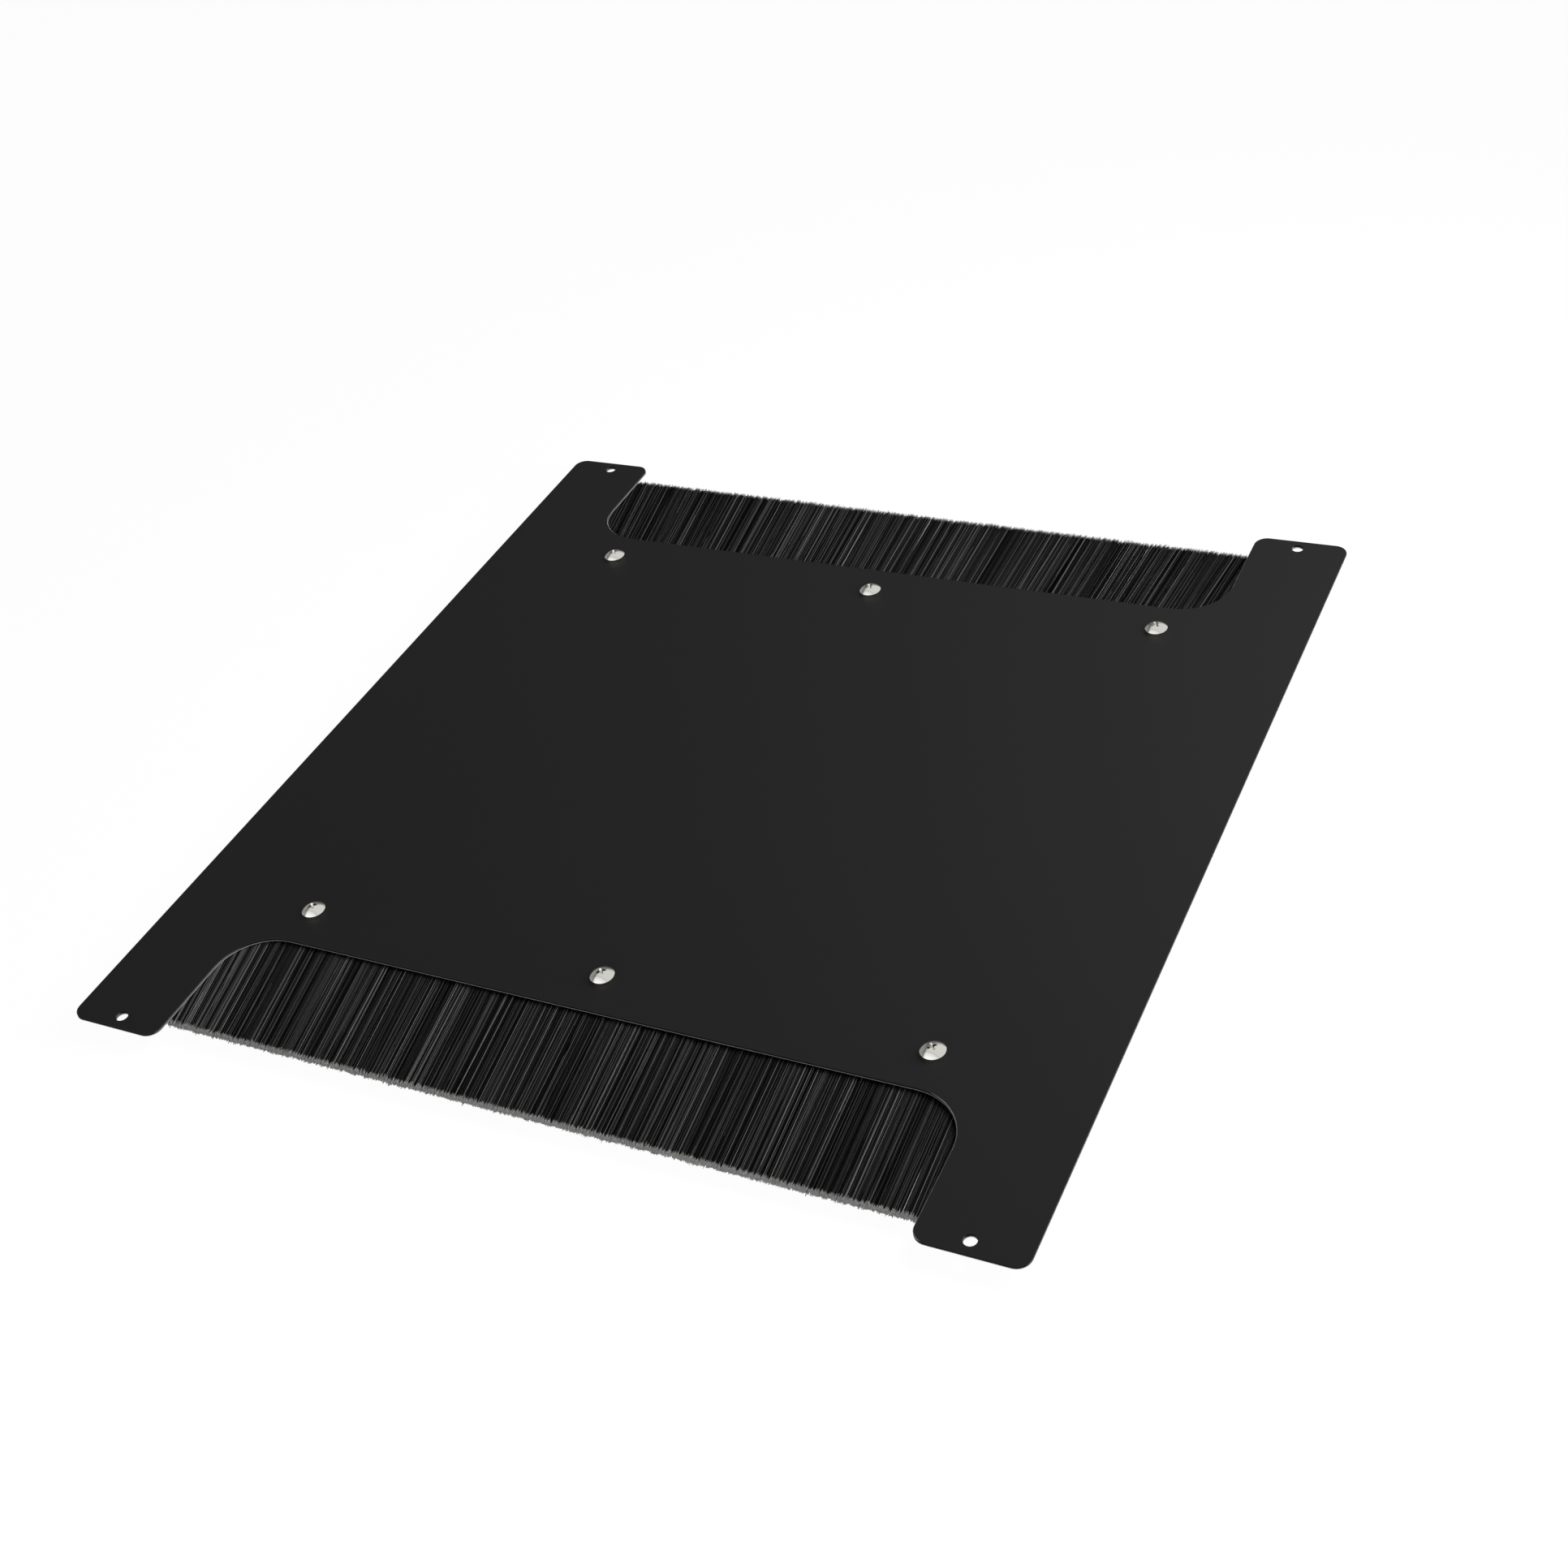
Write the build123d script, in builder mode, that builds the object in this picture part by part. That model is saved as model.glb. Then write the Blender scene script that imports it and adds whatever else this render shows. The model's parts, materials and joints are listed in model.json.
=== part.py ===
"""Brush cable entry panel for the roof or floor of a server rack, in millimetres.

A flat sheet with a wide notch at each end. Under each notch a strip brush lies flat
against the sheet, held by a joggled clamp bar and three screws with washers and nuts.
X runs along the width, Y from the front end to the rear end, and Z up through the sheet.
The origin is the centre of the four corner holes, on the sheet's underside.
"""

import os
from math import radians, sqrt, tan

from build123d import *

# Sheet
panel_width = 525.0
panel_length = 550.0
sheet_thickness = 2.0
outer_corner_radius = 7.5
sheet_edge_break = 0.3

# Cable notch at each end, between two tabs
tab_width = 54.5
notch_depth = 81.5
notch_corner_radius = 29.0

# Corner holes that fasten the panel to the rack
mount_hole_diameter = 6.6
mount_side_inset = 28.5
mount_end_inset = 7.5

# Screws that hold the brushes
screw_end_inset = 49.7
screw_setback = 22.5
screw_hole_diameter = 6.6
shank_diameter = 5.9
shank_length = 12.0
shank_chamfer = 0.6
head_diameter = 12.8
head_base_diameter = 12.6
head_rim_height = 2.1
head_height = 4.7
recess_span = 5.4
recess_slot = 1.3
recess_depth = 2.6
recess_floor_span = 2.6
recess_side_taper = 5.0
recess_turn = 45.0

# Nuts and washers
washer_diameter = 12.0
washer_bore = 6.4
washer_thickness = 1.6
nut_across_flats = 10.0
nut_bore = 6.0
nut_height = 5.0
nut_face_diameter = 9.5
nut_chamfer_angle = 30.0
nut_blank_margin = 0.5

# Clamp bar, a folded strip
clamp_thickness = 1.5
clamp_bend_radius = 1.0
clamp_back = 8.5
clamp_corner_radius = 3.0
clamp_lip_setback = 1.0

# Strip brush
brush_overlap = 20.0
channel_height = 5.5
channel_depth = 7.0
channel_wall = 0.6
channel_nip = 0.35
channel_nip_length = 1.6
channel_setback = 5.5
core_wire_diameter = 1.8
bristle_clearance = 0.25
bristle_flare_length = 4.5
bristle_flare_thickness = 3.9
bristle_tip_thickness = 3.4
tuft_pitch = 3.0
tuft_groove = 0.6
tip_notch_pitch = 4.2
tip_notch_depth = 1.3

# Distance from the sheet's end to the bristle tips, at the left and the right end of each brush
front_trim = (15.0, 15.0)
rear_trim = (15.0, 18.0)

# Sideways lean of the bristles towards +X, in degrees, at the left and the right end
front_lean = (14.0, 2.0)
rear_lean = (-13.0, 6.0)

# Sizes that follow from the ones above
notch_width = panel_width - 2 * tab_width
brush_length = notch_width + 2 * brush_overlap
screw_spacing = brush_length / 2 - screw_end_inset
notch_edge_y = panel_length / 2 - notch_depth
screw_row_y = notch_edge_y - screw_setback
mount_spacing_x = panel_width - 2 * mount_side_inset
mount_spacing_y = panel_length - 2 * mount_end_inset
mouth_out = screw_setback - channel_setback
channel_back_out = mouth_out - channel_depth
channel_middle_z = -channel_height / 2
pack_half = channel_height / 2 - channel_wall - channel_nip
golden_step = 0.618034

os.makedirs("parts", exist_ok=True)


def save(part, name):
    """Label a finished piece and write it to its own file."""
    part.label = name
    export_step(part, f"parts/{name}.step")


def section_plane(end, z=0.0):
    """Plane across the brush: local x runs outwards from the screw row, local y is up."""
    return Plane(origin=(0, end * screw_row_y, z), x_dir=(0, end, 0), z_dir=(end, 0, 0))


def slot_outline(half, mouth_half, back):
    """Lines of a round-backed slot, nipped in at its mouth, centred on local y = 0."""
    knee = mouth_out - channel_nip_length
    Polyline((mouth_out, mouth_half), (knee, half), (back + half, half))
    ThreePointArc((back + half, half), (back, 0), (back + half, -half))
    Polyline((back + half, -half), (knee, -half), (mouth_out, -mouth_half), (mouth_out, mouth_half))


def spread(ends, x):
    """Value at x of a size that changes evenly from the brush's left end to its right end."""
    return ends[0] + (ends[1] - ends[0]) * (x / brush_length + 0.5)


def uneven(index):
    """Steady but uneven fraction from 0 to 1, so that neighbouring tufts differ."""
    return (index * golden_step) % 1.0


# Flat sheet with its two notches, corner holes and screw holes
with BuildPart() as panel:
    with BuildSketch():
        Rectangle(panel_width, panel_length)
        for end in (-1, 1):
            with Locations((0, end * panel_length / 2)):
                Rectangle(notch_width, 2 * notch_depth, mode=Mode.SUBTRACT)
        corners = vertices().filter_by(lambda v: abs(v.Y) > notch_edge_y + notch_depth / 2)
        fillet(corners, outer_corner_radius)
        inner_corners = vertices().filter_by(lambda v: abs(abs(v.Y) - notch_edge_y) < sheet_thickness)
        fillet(inner_corners, notch_corner_radius)
    extrude(amount=sheet_thickness)
    chamfer(edges().group_by(Axis.Z)[0] + edges().group_by(Axis.Z)[-1], sheet_edge_break)
    with GridLocations(mount_spacing_x, mount_spacing_y, 2, 2):
        Hole(mount_hole_diameter / 2)
    with GridLocations(screw_spacing, 2 * screw_row_y, 3, 2):
        Hole(screw_hole_diameter / 2)
save(panel.part, "panel")


def make_clamp(end):
    """Joggled clamp bar: its flange lies under the sheet and its lip under the brush channel."""
    joggle_back = channel_back_out - clamp_thickness
    lip_top = -channel_height
    lip_front = mouth_out - clamp_lip_setback
    with BuildPart() as clamp:
        with BuildSketch(section_plane(end)):
            with BuildLine():
                Polyline(
                    (-clamp_back, 0),
                    (channel_back_out, 0),
                    (channel_back_out, lip_top),
                    (lip_front, lip_top),
                    (lip_front, lip_top - clamp_thickness),
                    (joggle_back, lip_top - clamp_thickness),
                    (joggle_back, -clamp_thickness),
                    (-clamp_back, -clamp_thickness),
                    close=True,
                )
            make_face()
            bends = vertices().filter_by_position(Axis.X, joggle_back, channel_back_out)
            by_height = bends.sort_by(Axis.Y)
            outside = [by_height[0], by_height[-1]]
            inside = [by_height[1], by_height[-2]]
            fillet(inside, clamp_bend_radius)
            fillet(outside, clamp_bend_radius + clamp_thickness)
        extrude(amount=brush_length / 2, both=True)
        fillet(clamp.edges().filter_by(Axis.Z).group_by(Axis.Z)[-1], clamp_corner_radius)
        with Locations((0, end * screw_row_y, 0)):
            with GridLocations(screw_spacing, 0, 3, 1):
                Hole(screw_hole_diameter / 2)
    return clamp.part


def make_channel(end):
    """Steel channel of the strip brush, closed round the folded bristles and nipped at its mouth."""
    outer = channel_height / 2
    inner = outer - channel_wall
    with BuildPart() as channel:
        with BuildSketch(section_plane(end, channel_middle_z)):
            with BuildLine():
                slot_outline(outer, outer - channel_nip, channel_back_out)
            make_face()
        extrude(amount=brush_length / 2, both=True)
        with BuildSketch(section_plane(end, channel_middle_z)):
            with BuildLine():
                slot_outline(inner, inner - channel_nip, channel_back_out + channel_wall)
            make_face()
        extrude(amount=brush_length / 2, both=True, mode=Mode.SUBTRACT)
    return channel.part


def make_core_wire(end):
    """Wire that the bristles are folded over, along the back of the channel."""
    with BuildPart() as wire:
        with BuildSketch(section_plane(end, channel_middle_z)):
            with Locations((channel_back_out + channel_height / 2, 0)):
                Circle(core_wire_diameter / 2)
        extrude(amount=brush_length / 2, both=True)
    return wire.part


def tuft_profile(top, bottom, groove, lean, reach):
    """Closed zigzag across the pack: one ridge a tuft on each face, shifted sideways by its lean."""
    tufts = round(brush_length / tuft_pitch)
    pitch = brush_length / tufts
    upper = []
    lower = []
    for index in range(tufts):
        valley_x = index * pitch - brush_length / 2
        ridge_x = valley_x + pitch / 2
        cut = groove * (0.5 + 0.5 * uneven(index))
        for x, depth in ((valley_x, cut), (ridge_x, 0.0)):
            shifted = x + reach * tan(radians(spread(lean, x)))
            upper.append((shifted, top - depth))
            lower.append((shifted, bottom + depth))
    last = brush_length / 2 + reach * tan(radians(lean[1]))
    upper.append((last, top - groove))
    lower.append((last, bottom + groove))
    return upper + lower[::-1]


def make_bristles(end, lean, trim):
    """Bristle pack: folded over the core wire, then out of the mouth in tufts to uneven tips."""
    inner = channel_height / 2 - channel_wall
    mouth_y = screw_row_y + mouth_out
    beyond = panel_length / 2 - mouth_y
    stations = (
        (0.0, channel_middle_z + pack_half, channel_middle_z - pack_half),
        (bristle_flare_length, -bristle_clearance, -bristle_clearance - bristle_flare_thickness),
        (beyond, -bristle_clearance, -bristle_clearance - bristle_tip_thickness),
    )
    with BuildPart() as bristles:
        for reach, top, bottom in stations:
            with BuildSketch(Plane.XZ.offset(-end * (mouth_y + reach))):
                with BuildLine():
                    Polyline(*tuft_profile(top, bottom, tuft_groove, lean, reach), close=True)
                make_face()
        loft(ruled=True)
        cut_side = brush_length / 2 + beyond
        notches = round(2 * cut_side / tip_notch_pitch)
        tips = []
        for index in range(notches + 1):
            x = 2 * cut_side * index / notches - cut_side
            ragged = tip_notch_depth * uneven(index) * (1 if index % 2 else -1)
            tips.append((x, end * (panel_length / 2 - spread(trim, x) + ragged)))
        with BuildSketch(Plane.XY):
            with BuildLine():
                Polyline(*tips, (cut_side, end * panel_length), (-cut_side, end * panel_length), close=True)
            make_face()
        extrude(amount=channel_height, both=True, mode=Mode.SUBTRACT)
        with BuildSketch(section_plane(end, channel_middle_z)):
            with BuildLine():
                slot_outline(inner, inner - channel_nip, channel_back_out + channel_wall)
            make_face()
        extrude(amount=brush_length / 2, both=True)
        with BuildSketch(section_plane(end, channel_middle_z)):
            with Locations((channel_back_out + channel_height / 2, 0)):
                Circle(core_wire_diameter / 2)
        extrude(amount=brush_length / 2, both=True, mode=Mode.SUBTRACT)
    return bristles.part


for end_name, end, lean, trim in (
    ("front", -1, front_lean, front_trim),
    ("rear", 1, rear_lean, rear_trim),
):
    save(make_clamp(end), f"{end_name}_clamp_bar")
    save(make_channel(end), f"{end_name}_brush_channel")
    save(make_core_wire(end), f"{end_name}_core_wire")
    save(make_bristles(end, lean, trim), f"{end_name}_bristles")


# Cross recess: a tapered cross whose wing ends lie on a cone
with BuildPart() as recess:
    with BuildSketch(Plane.XY.offset(head_height)):
        Rectangle(recess_span, recess_slot, rotation=recess_turn)
        Rectangle(recess_slot, recess_span, rotation=recess_turn)
    extrude(amount=-recess_depth, taper=recess_side_taper)
    with Locations((0, 0, head_height)):
        Cone(
            recess_floor_span / 2,
            recess_span / 2,
            recess_depth,
            align=(Align.CENTER, Align.CENTER, Align.MAX),
            mode=Mode.INTERSECT,
        )

# Screw standing on its bearing face at the origin, with a domed head and a cross recess
with BuildPart() as screw:
    with BuildSketch(Plane.XZ):
        with BuildLine():
            Polyline(
                (0, head_height),
                (0, -shank_length),
                (shank_diameter / 2 - shank_chamfer, -shank_length),
                (shank_diameter / 2, shank_chamfer - shank_length),
                (shank_diameter / 2, 0),
                (head_base_diameter / 2, 0),
                (head_diameter / 2, head_rim_height),
            )
            TangentArc((0, head_height), (head_diameter / 2, head_rim_height), tangent=(1, 0))
        make_face()
    revolve(axis=Axis.Z)
    add(recess.part, mode=Mode.SUBTRACT)

# Plain washer with its upper face at the origin
with BuildPart() as washer:
    with BuildSketch():
        Circle(washer_diameter / 2)
        Circle(washer_bore / 2, mode=Mode.SUBTRACT)
    extrude(amount=-washer_thickness)

# Hexagon nut with its upper face at the origin, its corners turned off on the lower face
with BuildPart() as nut:
    with BuildSketch():
        RegularPolygon(nut_across_flats / 2, 6, major_radius=False)
    extrude(amount=-nut_height)
    with BuildSketch(Plane.XZ):
        with BuildLine():
            face_edge = nut_face_diameter / 2
            blank_edge = nut_across_flats / sqrt(3) + nut_blank_margin
            rise = (blank_edge - face_edge) * tan(radians(nut_chamfer_angle))
            Polyline(
                (0, 0),
                (0, -nut_height),
                (face_edge, -nut_height),
                (blank_edge, rise - nut_height),
                (blank_edge, 0),
                close=True,
            )
        make_face()
    revolve(axis=Axis.Z, mode=Mode.INTERSECT)
    Hole(nut_bore / 2)

washer_top_z = -clamp_thickness
nut_top_z = washer_top_z - washer_thickness
for end_name, end in (("front", -1), ("rear", 1)):
    for place, column in (("left", -1), ("middle", 0), ("right", 1)):
        x = column * screw_spacing
        y = end * screw_row_y
        for kind, master, z in (
            ("screw", screw, sheet_thickness),
            ("washer", washer, washer_top_z),
            ("nut", nut, nut_top_z),
        ):
            with BuildPart() as placed:
                with Locations((x, y, z)):
                    add(master.part)
            save(placed.part, f"{kind}_{end_name}_{place}")
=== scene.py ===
import json
import math

import bpy
import numpy as np
from mathutils import Matrix, Vector


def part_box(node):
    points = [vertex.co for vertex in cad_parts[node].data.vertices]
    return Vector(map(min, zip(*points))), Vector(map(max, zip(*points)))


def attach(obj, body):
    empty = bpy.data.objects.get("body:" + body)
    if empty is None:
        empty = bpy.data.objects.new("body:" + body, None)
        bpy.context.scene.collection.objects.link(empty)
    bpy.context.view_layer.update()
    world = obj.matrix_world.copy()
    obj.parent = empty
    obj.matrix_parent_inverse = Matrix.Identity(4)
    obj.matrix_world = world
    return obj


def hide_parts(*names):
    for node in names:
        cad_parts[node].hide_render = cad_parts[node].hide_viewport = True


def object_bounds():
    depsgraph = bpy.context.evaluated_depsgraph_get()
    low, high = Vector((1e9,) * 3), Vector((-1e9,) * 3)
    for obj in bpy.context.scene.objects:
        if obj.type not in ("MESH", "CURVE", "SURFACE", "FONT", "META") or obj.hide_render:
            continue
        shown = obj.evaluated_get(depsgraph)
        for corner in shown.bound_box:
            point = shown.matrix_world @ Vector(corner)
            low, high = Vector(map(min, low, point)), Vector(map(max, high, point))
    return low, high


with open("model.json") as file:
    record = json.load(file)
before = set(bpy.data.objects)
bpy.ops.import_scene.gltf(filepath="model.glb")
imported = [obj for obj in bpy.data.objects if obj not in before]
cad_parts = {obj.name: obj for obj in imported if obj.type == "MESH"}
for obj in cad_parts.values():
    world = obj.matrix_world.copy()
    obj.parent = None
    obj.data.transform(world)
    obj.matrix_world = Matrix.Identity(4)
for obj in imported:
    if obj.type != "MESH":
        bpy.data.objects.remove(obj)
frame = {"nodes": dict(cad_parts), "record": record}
cad_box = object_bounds()

MM = 0.001

# Where the picture was taken from: the eye's place, how the view is turned, and the lens
EYE = Vector((0.51457, -0.79299, 0.73834))
VIEW_HEADING = math.radians(31.958)
VIEW_CLIMB = math.radians(38.548)
VIEW_ROLL = math.radians(-11.162)
FOCAL_LENGTH = 49.91
SENSOR_WIDTH = 36.0

# Each strip brush: its filaments' lean in degrees and how far in mm they stop short of the panel's
# end, both at its left and right ends, its painted light scale (painted shade on the rear one), and the
# seed of its random draws
BRUSHES = {
    "front": {"lean": (14.0, 2.0), "trim": (15.0, 15.0), "painted_light_scale": 1.0, "seed": 11},
    "rear": {"lean": (-13.0, 6.0), "trim": (15.0, 18.0), "painted_light_scale": 0.8, "seed": 23},
}

# Filaments, with how much longer than the solid pack their loose ends reach
FILAMENT_RADIUS = 0.15 * MM
FILAMENT_COUNT = 9700
ROOT_DEPTH = 1.0 * MM
TIP_REACH = 1.9 * MM
FRAYED_TIP = 2.4 * MM
TIP_TAPER = 0.8
STRAY_SHARE = 0.008
LONG_SHARE = 0.02
LONG_REACH = 1.5 * MM

# Tufts: most filaments are drawn into round bundles, the rest lie loose, crushed wide and dark below them
TUFT_PITCH = 0.95 * MM
TUFT_WIDTHS = (0.3, 1.7)
TUFT_SQUEEZE = 0.34
TUFT_CROWN = 0.6 * MM
CROWN_ROUNDNESS = 0.95
LOOSE_EVERY = 3
LOOSE_DEPTH = 0.45
LOOSE_WIDTH = 2.0

# How far leans, lengths and split ends vary, as standard deviations
TUFT_LEAN = math.radians(0.3)
OWN_LEAN = math.radians(0.08)
STRAY_LEAN = math.radians(2.0)
TUFT_LENGTH = 0.25 * MM
OWN_LENGTH = 0.3 * MM
SPLIT_WIDTH = 0.3 * MM
SPLIT_DROOP = 0.2 * MM

# Tone of a filament: a painted highlight on its tuft's right flank, and painted shade falling from the
# brush's left end to its right
LIT_FLANK = 0.4
LIT_WIDTH = 0.3
SHADED_FLANK = 0.1
DARKEST_TUFT = 0.15
LEFT_END_PAINTED_LIGHT = 1.1
PAINTED_SHADE_FALL = 0.4
LOOSE_TONE = 0.02

# Brush section: the mouth's wall, the start of the flare, and the pack's thickness along it
CHANNEL_WALL = 0.95 * MM
FLARE_REACH = 4.5 * MM
FLARE_PACK = 3.8 * MM
TIP_PACK = 3.3 * MM
TOP_CLEARANCE = 0.28 * MM

# Painted highlight along the foot of the sheet's cut walls: its height and blur
FOOT_HEIGHT = 0.75 * MM
FOOT_BLUR = 0.05 * MM

# Studio seen in bright metal: a grey wall to the left, a thin dark gap, and a white room that dims
# towards the far left, crossed by a soft darker band with a glow in front of it
GAP_AXIS = (1.0, -0.18, 0.0)
GAP_PLACE = -0.757
GAP_WIDTH = 0.04
GAP_LEVEL = 0.45
LEFT_WALL_NEAR = 0.2
LEFT_WALL_FAR = 0.36
RIGHT_ROOM = 0.78
SHADED_ROOM = 0.17
SHADE_AXIS = (-0.9, 0.4, -0.5)
SHADE_START = 0.1
SHADE_END = 0.5
GLOW_AXIS = (0.2, 1.0, 0.0)
GLOW_END = -0.7
FRONT_GLOW = 1.6
BAND_PLACE = -0.12
BAND_WIDTH = 0.15
BAND_LEVEL = 0.85

# Light from all round on matt surfaces
SOFT_LIGHT = 0.08

# Paper floor: how much of it glows to the eye and to metal, how bright each sees it, and where it lies
PAPER_GLOW_SHARE = 0.92
PAPER_SEEN = 1.05
PAPER_IN_METAL = 0.07
FLOOR_SIZE = 12.0
FLOOR_DROP = 0.02 * MM

# Soft boxes: place and aim, width and height in metres, and power in watts
SOFT_BOXES = {
    "key_box": ((0.6, 0.12, 0.42), (0, 0, 0), 0.4, 0.9, 8.1),
    "front_fill": ((0.1, -1.3, 0.35), (0, -0.2, 0), 0.8, 0.3, 3.1),
}


def linear(hex_colour):
    """sRGB hex, such as "#c5c4bf", as linear red, green, blue and alpha."""
    parts = [int(hex_colour[i : i + 2], 16) / 255 for i in (1, 3, 5)]
    bent = [c / 12.92 if c <= 0.04045 else ((c + 0.055) / 1.055) ** 2.4 for c in parts]
    return (*bent, 1.0)


def add_node(tree, kind, settings=None, links=None):
    """Add a node: settings fill its sockets or its own choices, links feed its sockets."""
    new = tree.nodes.new(kind)
    for name, value in (settings or {}).items():
        if isinstance(name, int) or name in new.inputs:
            new.inputs[name].default_value = value
        else:
            setattr(new, name, value)
    for name, output in (links or {}).items():
        tree.links.new(output, new.inputs[name])
    return new


def new_material(name):
    """Empty material and its node tree."""
    material = bpy.data.materials.new(name)
    material.use_nodes = True
    material.node_tree.nodes.clear()
    return material, material.node_tree


def finish_material(tree, shader):
    """Make a shader the surface of its material."""
    add_node(tree, "ShaderNodeOutputMaterial", links={"Surface": shader.outputs[0]})


def black_powder_coat():
    """Black polyester powder coat: satin, with a fine orange-peel skin, painted light on its right-facing
    walls and painted highlights on its cut edges.
    """
    material, tree = new_material("black_powder_coat")
    surface = add_node(tree, "ShaderNodeTexCoord").outputs
    place = surface["Object"]
    facing = add_node(tree, "ShaderNodeSeparateXYZ", links={0: surface["Normal"]}).outputs
    height = add_node(tree, "ShaderNodeSeparateXYZ", links={0: place}).outputs["Z"]

    # Each mask rises from 0 to 1 between two values of the surface's direction or height
    masks = {
        "faces_rear": (facing["Y"], 0.15, 0.4),
        "faces_left": (facing["X"], -0.15, -0.4),
        "faces_right": (facing["X"], 0.75, 1.0),
        "faces_up": (facing["Z"], 0.2, 0.5),
        "not_under": (facing["Z"], -0.6, -0.4),
        "low": (height, FOOT_HEIGHT + FOOT_BLUR, FOOT_HEIGHT - FOOT_BLUR),
    }
    for name, (value, start, end) in masks.items():
        limits = {"From Min": start, "From Max": end}
        masks[name] = add_node(tree, "ShaderNodeMapRange", limits, {"Value": value}).outputs[0]
    sums = (
        ("faces_away", "MAXIMUM", "faces_rear", "faces_left"),
        ("top_edge", "MULTIPLY", "faces_away", "faces_up"),
        ("foot", "MULTIPLY", "low", "not_under"),
        ("painted_edge_highlight", "MAXIMUM", "top_edge", "foot"),
    )
    for name, operation, first, second in sums:
        pair = {0: masks[first], 1: masks[second]}
        masks[name] = add_node(tree, "ShaderNodeMath", {"operation": operation}, pair).outputs[0]

    # Orange peel at its real size, and powder grit some four times coarser than life so that it shows
    at = {"Vector": place}
    peel = add_node(tree, "ShaderNodeTexNoise", {"Scale": 1 / (1.4 * MM), "Detail": 2.0}, at)
    grit = add_node(tree, "ShaderNodeTexNoise", {"Scale": 1 / (0.45 * MM), "Detail": 1.0}, at)
    cloud = add_node(tree, "ShaderNodeTexNoise", {"Scale": 9.0, "Detail": 3.0}, at)
    colour = add_node(
        tree,
        "ShaderNodeMix",
        {"data_type": "RGBA", 6: linear("#171717"), 7: linear("#191919")},
        {0: cloud.outputs["Fac"]},
    )
    # Painted light: right-facing walls are painted paler as if lit from the right, with a painted highlight
    # on the top edges facing away and on the foot of the cut walls
    painted_right_light = add_node(
        tree,
        "ShaderNodeMix",
        {"data_type": "RGBA", 7: linear("#606060")},
        {0: masks["faces_right"], 6: colour.outputs[2]},
    )
    coat_with_painted_light = add_node(
        tree,
        "ShaderNodeMix",
        {"data_type": "RGBA", 7: linear("#b4b4b2")},
        {0: masks["painted_edge_highlight"], 6: painted_right_light.outputs[2]},
    )
    rough = add_node(
        tree, "ShaderNodeMapRange", {"To Min": 0.46, "To Max": 0.52}, {"Value": cloud.outputs["Fac"]}
    )
    skin = add_node(
        tree,
        "ShaderNodeBump",
        {"Strength": 0.2, "Distance": 0.03 * MM},
        {"Height": peel.outputs["Fac"]},
    )
    grain = add_node(
        tree,
        "ShaderNodeBump",
        {"Strength": 0.15, "Distance": 0.015 * MM},
        {"Height": grit.outputs["Fac"], "Normal": skin.outputs[0]},
    )
    shader = add_node(
        tree,
        "ShaderNodeBsdfPrincipled",
        {"IOR": 1.5, "Specular IOR Level": 0.2},
        {"Base Color": coat_with_painted_light.outputs[2], "Roughness": rough.outputs[0], "Normal": grain.outputs[0]},
    )
    finish_material(tree, shader)
    return material


def black_nylon():
    """Black extruded nylon filament: satin, each in a tuft's own shade with painted light and shade, and
    with pale split ends.
    """
    material, tree = new_material("black_nylon")
    tone = add_node(tree, "ShaderNodeAttribute", {"attribute_name": "tone"})
    from_tip = add_node(tree, "ShaderNodeAttribute", {"attribute_name": "from_tip"})
    # The tone mixes each tuft's random shade with a painted highlight on its right flank and painted shade
    # along the brush
    body = add_node(
        tree,
        "ShaderNodeMix",
        {"data_type": "RGBA", 6: linear("#010101"), 7: linear("#bcbcbb")},
        {0: tone.outputs["Fac"]},
    )
    pale = add_node(
        tree,
        "ShaderNodeMapRange",
        {"From Min": 0.5 * FRAYED_TIP, "From Max": FRAYED_TIP, "To Min": 1.0, "To Max": 0.0},
        {"Value": from_tip.outputs["Fac"]},
    )
    place = add_node(tree, "ShaderNodeTexCoord").outputs["Object"]

    # Split ends, in patches of a few filaments, so that they show
    split = add_node(
        tree, "ShaderNodeTexNoise", {"Scale": 1 / (0.7 * MM), "Detail": 1.0}, {"Vector": place}
    )
    end_shade = add_node(
        tree,
        "ShaderNodeMix",
        {"data_type": "RGBA", 6: linear("#6a6a69"), 7: linear("#ececea")},
        {0: split.outputs["Fac"]},
    )
    tipped = add_node(
        tree,
        "ShaderNodeMix",
        {"data_type": "RGBA"},
        {0: pale.outputs[0], 6: body.outputs[2], 7: end_shade.outputs[2]},
    )
    gloss = add_node(
        tree, "ShaderNodeMapRange", {"To Min": 0.0, "To Max": 0.16}, {"Value": tone.outputs["Fac"]}
    )

    # The exported model drops the link to the specular level and keeps the value set here
    shader = add_node(
        tree,
        "ShaderNodeBsdfPrincipled",
        {"IOR": 1.53, "Roughness": 0.45, "Specular IOR Level": 0.05},
        {"Base Color": tipped.outputs[2], "Specular IOR Level": gloss.outputs[0]},
    )
    finish_material(tree, shader)
    return material


def galvanised_steel():
    """Hot-dip galvanised strip: soft grey zinc with crystal spangles some millimetres wide."""
    material, tree = new_material("galvanised_steel")
    place = add_node(tree, "ShaderNodeTexCoord").outputs["Object"]
    spangle = add_node(tree, "ShaderNodeTexVoronoi", {"Scale": 1 / (7 * MM)}, {"Vector": place})
    grey = add_node(tree, "ShaderNodeRGBToBW", links={"Color": spangle.outputs["Color"]})
    colour = add_node(
        tree,
        "ShaderNodeMix",
        {"data_type": "RGBA", 6: linear("#a6abae"), 7: linear("#c4c8c9")},
        {0: grey.outputs[0]},
    )
    rough = add_node(
        tree, "ShaderNodeMapRange", {"To Min": 0.32, "To Max": 0.52}, {"Value": grey.outputs[0]}
    )
    shader = add_node(
        tree,
        "ShaderNodeBsdfPrincipled",
        {"Metallic": 1.0},
        {"Base Color": colour.outputs[2], "Roughness": rough.outputs[0]},
    )
    finish_material(tree, shader)
    return material


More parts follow.
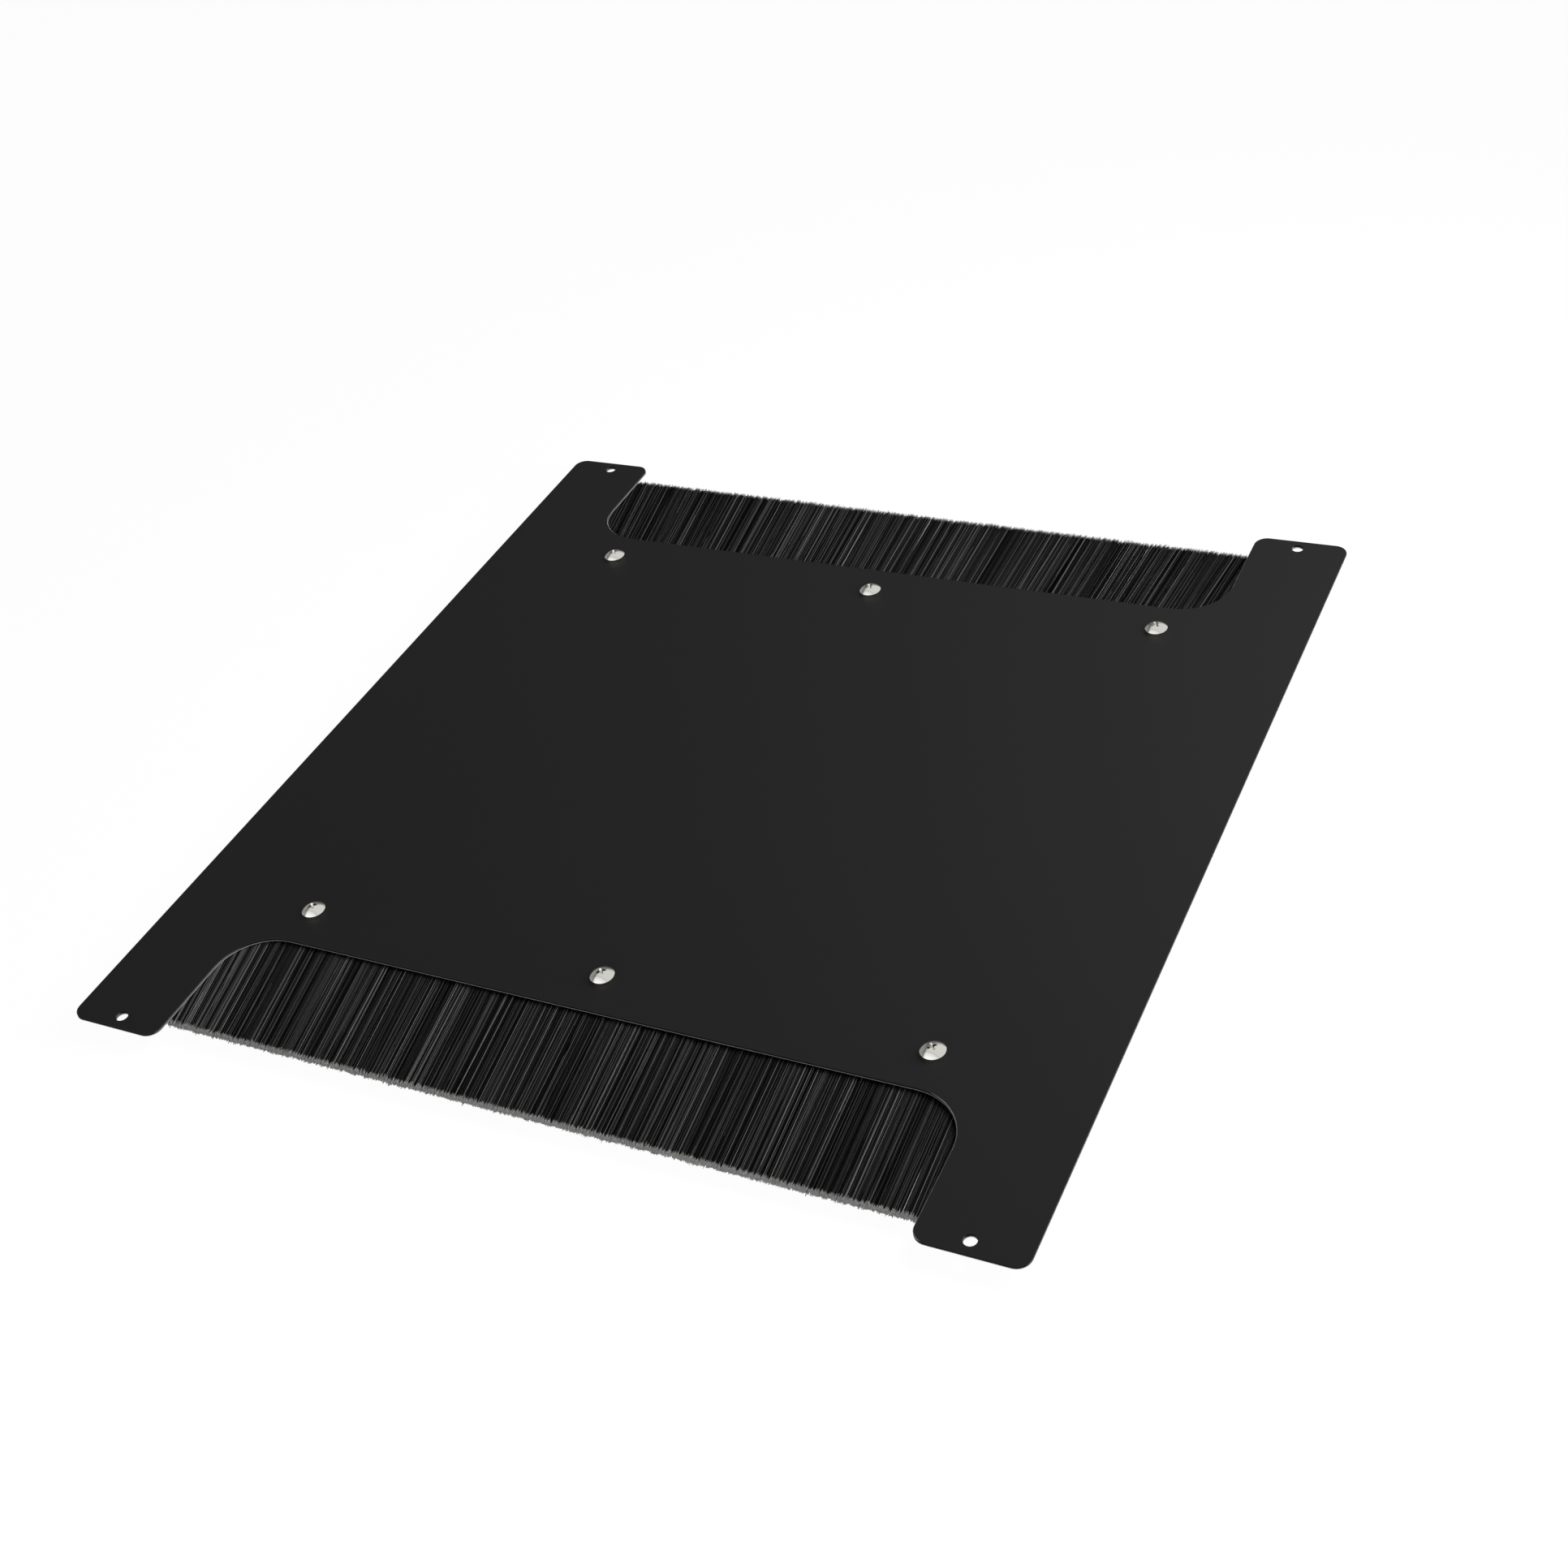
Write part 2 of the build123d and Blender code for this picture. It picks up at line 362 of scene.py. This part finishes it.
def plated_metal(name, shade, roughness, grain):
    """Plated or drawn steel: its own shade, with fine marks of its making in its gloss."""
    material, tree = new_material(name)
    place = add_node(tree, "ShaderNodeTexCoord").outputs["Object"]

    # The marks are coarser than life, so that they show
    marks = add_node(tree, "ShaderNodeTexNoise", {"Scale": 1 / grain, "Detail": 3.0}, {"Vector": place})
    limits = {"To Min": roughness[0], "To Max": roughness[1]}
    rough = add_node(tree, "ShaderNodeMapRange", limits, {"Value": marks.outputs["Fac"]})
    skin = add_node(
        tree, "ShaderNodeBump", {"Strength": 0.05, "Distance": 0.02 * MM}, {"Height": marks.outputs["Fac"]}
    )
    shader = add_node(
        tree,
        "ShaderNodeBsdfPrincipled",
        {"Metallic": 1.0, "Base Color": linear(shade)},
        {"Roughness": rough.outputs[0], "Normal": skin.outputs[0]},
    )
    finish_material(tree, shader)
    return material


def pale_floor():
    """Seamless white paper: white to the eye, dim in reflections, with the object's soft shadow in it."""
    material, tree = new_material("white_paper_floor")
    rays = add_node(tree, "ShaderNodeLightPath").outputs
    seen = add_node(
        tree,
        "ShaderNodeMath",
        {"operation": "MAXIMUM"},
        {0: rays["Is Camera Ray"], 1: rays["Is Glossy Ray"]},
    )
    share = add_node(
        tree, "ShaderNodeMath", {"operation": "MULTIPLY", 1: PAPER_GLOW_SHARE}, {0: seen.outputs[0]}
    )
    glow = add_node(
        tree,
        "ShaderNodeMapRange",
        {"To Min": PAPER_SEEN, "To Max": PAPER_IN_METAL},
        {"Value": rays["Is Glossy Ray"]},
    )
    paper = add_node(tree, "ShaderNodeBsdfDiffuse", {"Color": linear("#f4f4f4")})
    white = add_node(
        tree, "ShaderNodeEmission", {"Color": linear("#ffffff")}, {"Strength": glow.outputs[0]}
    )
    shader = add_node(
        tree,
        "ShaderNodeMixShader",
        links={0: share.outputs[0], 1: paper.outputs[0], 2: white.outputs[0]},
    )
    finish_material(tree, shader)
    return material


def deselect_all():
    """Leave nothing selected before a new piece is made."""
    for obj in bpy.context.selected_objects:
        obj.select_set(False)


def give(obj, material):
    """Use one material on the whole of a piece."""
    obj.data.materials.clear()
    obj.data.materials.append(material)


def filament_master(stations):
    """One filament as a three-sided stick along Y, cut at each station and drawn to a blunt tip."""
    deselect_all()
    span = stations - 1
    bpy.ops.mesh.primitive_cylinder_add(
        vertices=3, radius=1.0, depth=span, location=(0, span / 2, 0), rotation=(math.pi / 2, 0, 0)
    )
    stick = bpy.context.object
    bpy.ops.object.transform_apply(location=True, rotation=True, scale=True)
    bpy.ops.object.mode_set(mode="EDIT")
    for cut in range(1, span):
        bpy.ops.mesh.select_all(action="SELECT")
        bpy.ops.mesh.bisect(plane_co=(0, cut, 0), plane_no=(0, 1, 0))
    bpy.ops.mesh.select_all(action="DESELECT")
    bpy.ops.object.mode_set(mode="OBJECT")
    tip = [v for v in stick.data.vertices if v.co.y > span - 0.5]
    for vertex in tip:
        vertex.select = True
    bpy.ops.object.mode_set(mode="EDIT")
    bpy.ops.transform.resize(value=(TIP_TAPER, 1.0, TIP_TAPER), center_override=(0, span, 0))
    bpy.ops.object.mode_set(mode="OBJECT")
    return stick


def tuft_edges(draw, start, width):
    """Places where one tuft ends and the next begins, unevenly spaced."""
    shares = draw.uniform(*TUFT_WIDTHS, round(width / TUFT_PITCH))
    return start + width * np.concatenate(([0.0], np.cumsum(shares) / shares.sum()))


def lift(lowest, value):
    """Squeeze values from 0 to 1 into the range from lowest to 1."""
    return lowest + (1.0 - lowest) * value


def filament_paths(draw, side, lean, trim, painted_light_scale):
    """Every filament's points at its stations, its radius, tone and length, and its stations' reach."""
    low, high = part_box(f"{side}_brush_channel")
    panel_low, panel_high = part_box("panel")
    sign = 1 if side == "rear" else -1
    mouth = high.y if sign > 0 else low.y
    end = panel_high.y if sign > 0 else panel_low.y
    width = high.x - low.x
    count = FILAMENT_COUNT

    # Where each filament is rooted, and its place across its tuft, from -1 to 1
    root_x = low.x + width * (np.arange(count) + draw.random(count)) / count
    share = (root_x - low.x) / width
    edges = tuft_edges(draw, low.x, width)
    tufts = len(edges) - 1
    tuft = np.clip(np.searchsorted(edges, root_x) - 1, 0, tufts - 1)
    middle = (edges[tuft] + edges[tuft + 1]) / 2
    across = 2 * (root_x - middle) / (edges[tuft + 1] - edges[tuft])
    loose = np.arange(count) % LOOSE_EVERY == 0
    drawn_x = np.where(loose, root_x, middle + (root_x - middle) * TUFT_SQUEEZE)
    layer = draw.random(count)
    crown = TUFT_CROWN * (1.0 - np.sqrt(1.0 - CROWN_ROUNDNESS * across**2))

    # Lean and length
    tuft_lean = draw.normal(0.0, TUFT_LEAN, tufts)
    angle = np.radians(lean[0] + (lean[1] - lean[0]) * share) + draw.normal(0.0, OWN_LEAN, count)
    angle += np.where(loose, 0.0, tuft_lean[tuft])
    stray = draw.random(count) < STRAY_SHARE
    angle += np.where(stray, draw.normal(0.0, STRAY_LEAN, count), 0.0)
    inset = trim[0] + (trim[1] - trim[0]) * share
    tuft_length = draw.normal(0.0, TUFT_LENGTH, tufts)
    length = abs(end - mouth) - inset * MM + TIP_REACH + tuft_length[tuft]
    length += draw.normal(0.0, OWN_LENGTH, count)
    length += np.where(draw.random(count) < LONG_SHARE, draw.random(count) * LONG_REACH, 0.0)

    # Stations: inside the mouth, where the flare ends, where the split end starts, and the tip
    reaches = [np.full(count, -ROOT_DEPTH), np.full(count, FLARE_REACH), length - FRAYED_TIP, length]
    packs = [high.z - low.z - 2 * CHANNEL_WALL, FLARE_PACK, TIP_PACK, TIP_PACK]
    splits = [0.0, 0.0, 0.0, 1.0]
    radius = np.where(loose, LOOSE_WIDTH, 1.0) * FILAMENT_RADIUS
    points = np.zeros((count, len(reaches), 3))
    for k, reach in enumerate(reaches):
        usable = packs[k] - 2 * radius
        top = -TOP_CLEARANCE if k else high.z - CHANNEL_WALL
        bundled = crown + layer * (usable - crown) if k else layer * usable
        sunk = lift(LOOSE_DEPTH, layer) * usable
        points[:, k, 0] = (drawn_x if k else root_x) + reach * np.tan(angle)
        points[:, k, 0] += splits[k] * draw.normal(0.0, SPLIT_WIDTH, count)
        points[:, k, 1] = mouth + sign * reach
        points[:, k, 2] = top - radius - np.where(loose, sunk, bundled)
        points[:, k, 2] -= splits[k] * np.abs(draw.normal(0.0, SPLIT_DROOP, count))

    # Tone: each tuft's random shade, with a painted highlight on its right flank, and painted shade from
    # the brush's scale and from its left end to its right
    tuft_tone = draw.random(tufts)
    lit = np.exp(-(((across - LIT_FLANK) / LIT_WIDTH) ** 2))
    bundle_tone = lift(SHADED_FLANK, lit) * lift(DARKEST_TUFT, tuft_tone[tuft])
    bundle_tone *= lift(DARKEST_TUFT, draw.random(count) ** 1.5)
    bundle_tone *= painted_light_scale * (LEFT_END_PAINTED_LIGHT - PAINTED_SHADE_FALL * share)
    tone = np.where(loose, LOOSE_TONE, bundle_tone)
    return points, radius, tone, length, np.array(reaches).T


def lay_bristles(side, lean, trim, painted_light_scale, seed):
    """Strip brush's bristle pack: copies of one filament, each along its own path, as one piece."""
    draw = np.random.default_rng(seed)
    points, radius, tone, length, reaches = filament_paths(draw, side, lean, trim, painted_light_scale)
    count, stations = points.shape[:2]
    stick = filament_master(stations)
    flat = np.array([v.co for v in stick.data.vertices])
    faces = [tuple(p.vertices) for p in stick.data.polygons]
    bpy.data.objects.remove(stick)
    station = np.rint(flat[:, 1]).astype(int)

    # The front brush runs the other way, which would turn its faces inward
    if side == "front":
        faces = [f[::-1] for f in faces]
    corners = points[:, station, :].copy()
    corners[:, :, 0] += flat[None, :, 0] * radius[:, None]
    corners[:, :, 2] += flat[None, :, 2] * radius[:, None]
    per = len(flat)
    all_faces = [tuple(i * per + v for v in f) for i in range(count) for f in faces]
    mesh = bpy.data.meshes.new(f"{side}_nylon_bristles")
    mesh.from_pydata(corners.reshape(-1, 3).tolist(), [], all_faces)
    tones = np.repeat(tone, per)
    tips = (length[:, None] - reaches[:, station]).reshape(-1)
    for name, values in (("tone", tones), ("from_tip", tips)):
        mesh.attributes.new(name, "FLOAT", "POINT").data.foreach_set("value", values.astype(np.float32))
    mesh.update()
    piece = bpy.data.objects.new(mesh.name, mesh)
    bpy.context.scene.collection.objects.link(piece)
    for polygon in mesh.polygons:
        polygon.use_smooth = True
    give(piece, FINISH["nylon_bristle"])
    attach(piece, "root")
    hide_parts(f"{side}_bristles")


def set_camera():
    """Camera at the picture's place, turned by heading, climb and roll."""
    back = Vector((
        math.sin(VIEW_HEADING) * math.cos(VIEW_CLIMB),
        -math.cos(VIEW_HEADING) * math.cos(VIEW_CLIMB),
        math.sin(VIEW_CLIMB),
    ))
    level_right = Vector((0, 0, 1)).cross(back).normalized()
    level_up = back.cross(level_right)
    right = math.cos(VIEW_ROLL) * level_right + math.sin(VIEW_ROLL) * level_up
    up = math.cos(VIEW_ROLL) * level_up - math.sin(VIEW_ROLL) * level_right
    data = bpy.data.cameras.new("camera")
    data.lens = FOCAL_LENGTH
    data.sensor_width = SENSOR_WIDTH
    camera = bpy.data.objects.new("camera", data)
    camera.matrix_world = Matrix.Translation(EYE) @ Matrix((right, up, back)).transposed().to_4x4()
    bpy.context.scene.collection.objects.link(camera)
    bpy.context.scene.camera = camera


def soft_lamp(name, place, aim, width, height, power):
    """Rectangular soft box at a place, facing a point."""
    data = bpy.data.lights.new(name, "AREA")
    data.shape = "RECTANGLE"
    data.size = width
    data.size_y = height
    data.energy = power
    lamp = bpy.data.objects.new(name, data)
    lamp.visible_camera = False
    lamp.visible_glossy = False
    toward = Vector(aim) - Vector(place)
    lamp.matrix_world = Matrix.Translation(place) @ toward.to_track_quat("-Z", "Y").to_matrix().to_4x4()
    bpy.context.scene.collection.objects.link(lamp)


def studio_world():
    """White to the eye and dim to matt surfaces, with the studio's walls and glow for bright metal."""
    world = bpy.data.worlds.new("studio_room")
    world.use_nodes = True
    tree = world.node_tree
    tree.nodes.clear()
    rays = add_node(tree, "ShaderNodeLightPath").outputs
    toward = add_node(tree, "ShaderNodeTexCoord").outputs["Generated"]

    # How far a direction points along each axis, and how far that is from the gap and the band
    along = {}
    for name, axis in (("gap", GAP_AXIS), ("glow", GLOW_AXIS), ("shade", SHADE_AXIS)):
        product = {"operation": "DOT_PRODUCT", 1: axis}
        along[name] = add_node(tree, "ShaderNodeVectorMath", product, {0: toward}).outputs["Value"]
    off = {}
    for name, place in (("gap", GAP_PLACE), ("glow", BAND_PLACE)):
        shift = add_node(tree, "ShaderNodeMath", {"operation": "SUBTRACT", 1: place}, {0: along[name]})
        size = add_node(tree, "ShaderNodeMath", {"operation": "ABSOLUTE"}, {0: shift.outputs[0]})
        off[name] = size.outputs[0]

    # Brightness of each feature: a start and an end, and the level at each
    levels = {
        "left_wall": (along["gap"], -1.0, GAP_PLACE, LEFT_WALL_FAR, LEFT_WALL_NEAR),
        "past_gap": (along["gap"], GAP_PLACE, GAP_PLACE + GAP_WIDTH, 0.0, 1.0),
        "right_room": (along["shade"], SHADE_START, SHADE_END, RIGHT_ROOM, SHADED_ROOM),
        "gap": (off["gap"], 0.0, GAP_WIDTH, GAP_LEVEL, 1.0),
        "band": (off["glow"], 0.0, BAND_WIDTH, BAND_LEVEL, 1.0),
        "glow": (along["glow"], BAND_PLACE, GLOW_END, 1.0, FRONT_GLOW),
    }
    for name, (value, start, end, start_level, end_level) in levels.items():
        limits = {"From Min": start, "From Max": end, "To Min": start_level, "To Max": end_level}
        levels[name] = add_node(tree, "ShaderNodeMapRange", limits, {"Value": value}).outputs[0]
    walls = add_node(
        tree,
        "ShaderNodeMix",
        {"data_type": "FLOAT"},
        {0: levels["past_gap"], 2: levels["left_wall"], 3: levels["right_room"]},
    )
    room = walls.outputs[0]
    for name in ("gap", "band", "glow"):
        pair = {0: room, 1: levels[name]}
        room = add_node(tree, "ShaderNodeMath", {"operation": "MULTIPLY"}, pair).outputs[0]

    plain = add_node(
        tree,
        "ShaderNodeMath",
        {"operation": "MAXIMUM"},
        {0: rays["Is Camera Ray"], 1: rays["Is Transmission Ray"]},
    )
    soft = add_node(
        tree, "ShaderNodeMix", {"data_type": "FLOAT", 2: SOFT_LIGHT}, {0: rays["Is Glossy Ray"], 3: room}
    )
    strength = add_node(
        tree, "ShaderNodeMix", {"data_type": "FLOAT", 3: 1.0}, {0: plain.outputs[0], 2: soft.outputs[0]}
    )
    sky = add_node(
        tree, "ShaderNodeBackground", {"Color": linear("#ffffff")}, {"Strength": strength.outputs[0]}
    )
    add_node(tree, "ShaderNodeOutputWorld", links={"Surface": sky.outputs[0]})
    return world


def set_studio():
    """Pale floor, studio room and soft boxes."""
    deselect_all()
    bpy.ops.mesh.primitive_plane_add(size=FLOOR_SIZE, location=(0, 0, cad_box[0][2] - FLOOR_DROP))
    floor = bpy.context.object
    floor.name = "floor"
    give(floor, pale_floor())
    bpy.context.scene.world = studio_world()
    for name, box in SOFT_BOXES.items():
        soft_lamp(name, *box)
    bpy.context.scene.view_settings.view_transform = "Standard"


FINISH = {
    "powder_coat": black_powder_coat(),
    "nylon_bristle": black_nylon(),
    "galvanised_steel": galvanised_steel(),
    "bright_screw": plated_metal("bright_nickel_plate", "#e6e5df", (0.09, 0.14), 0.6 * MM),
    "zinc_fastener": plated_metal("zinc_plate", "#bfc3c6", (0.22, 0.34), 0.5 * MM),
    "steel_wire": plated_metal("drawn_steel_wire", "#9a9a98", (0.3, 0.45), 0.4 * MM),
}

for part in frame["record"]["subparts"]:
    give(frame["nodes"][part["node"]], FINISH[part["material_slot"]])

set_camera()
for side, brush in BRUSHES.items():
    lay_bristles(side, **brush)
set_studio()
